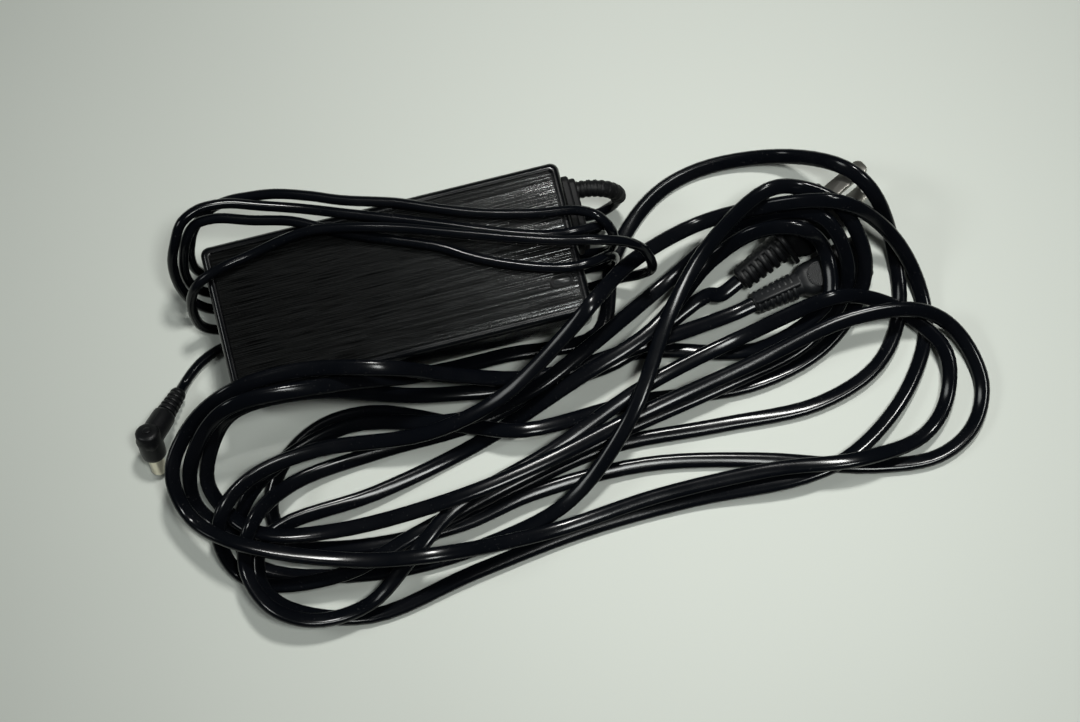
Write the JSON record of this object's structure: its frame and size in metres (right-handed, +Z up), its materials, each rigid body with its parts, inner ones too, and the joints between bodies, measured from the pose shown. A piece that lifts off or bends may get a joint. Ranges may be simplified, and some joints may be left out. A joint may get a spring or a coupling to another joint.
{
  "type": "laptop power adapter",
  "caption": "Laptop power adapter: brick-shaped housing with its output cord wound round it, a right-angle barrel plug, and a coiled flat mains cord with plug and connector.",
  "frame": {"origin": "centre of the housing, which is a 126 by 54 by 30 mm block without its cords", "axes": "+X along the housing towards the end the output cord leaves, +Y towards the housing's back side, +Z up out of its panelled top"},
  "size_m": [0.2934, 0.152, 0.0423],
  "materials": {
    "housing_plastic": "moulded, fine satin",
    "brushed_panel": "fine brushed, lines along the length",
    "window_plastic": "clear grey",
    "cord_jacket": "smooth semi-gloss",
    "moulded_rubber": "moulded satin",
    "plated_metal": "plated, slightly dull",
    "cream_insulator": "satin",
    "board_laminate": "laminate",
    "ferrite": "matt",
    "winding_copper": "lacquered wire",
    "heat_sink_aluminium": "mill finish",
    "component_case": "moulded",
    "film_yellow": "smooth",
    "sheet_film": "film"
  },
  "bodies": {
    "root": {"ac_cord_coil": "cord_jacket", "ac_tail_connector": "cord_jacket", "ac_tail_plug": "cord_jacket", "bottom_cover": "housing_plastic", "bridge_rectifier": "component_case", "bulk_capacitor": "component_case", "circuit_board": "board_laminate", "common_mode_choke": "winding_copper", "connector_body": "moulded_rubber", "connector_contact_1": "plated_metal", "connector_contact_2": "plated_metal", "dc_cord_lead": "cord_jacket", "dc_cord_winding": "cord_jacket", "dc_plug_body": "moulded_rubber", "dc_plug_contact": "plated_metal", "dc_plug_insulator": "cream_insulator", "dc_plug_sleeve": "plated_metal", "fuse": "cream_insulator", "inlet_housing": "component_case", "inlet_pin_1": "plated_metal", "inlet_pin_2": "plated_metal", "insulating_sheet": "sheet_film", "led_window": "window_plastic", "mains_blade_1": "plated_metal", "mains_blade_2": "plated_metal", "mains_plug_body": "moulded_rubber", "optocoupler": "component_case", "output_capacitor_1": "component_case", "output_capacitor_2": "component_case", "output_choke": "winding_copper", "output_rectifier": "component_case", "output_strain_relief": "moulded_rubber", "primary_heat_sink": "heat_sink_aluminium", "secondary_heat_sink": "heat_sink_aluminium", "status_led": "cream_insulator", "switching_transistor": "component_case", "top_cover": "housing_plastic", "top_panel": "brushed_panel", "transformer_core": "ferrite", "transformer_winding": "winding_copper", "x_capacitor": "film_yellow"}
  },
  "joints": []
}
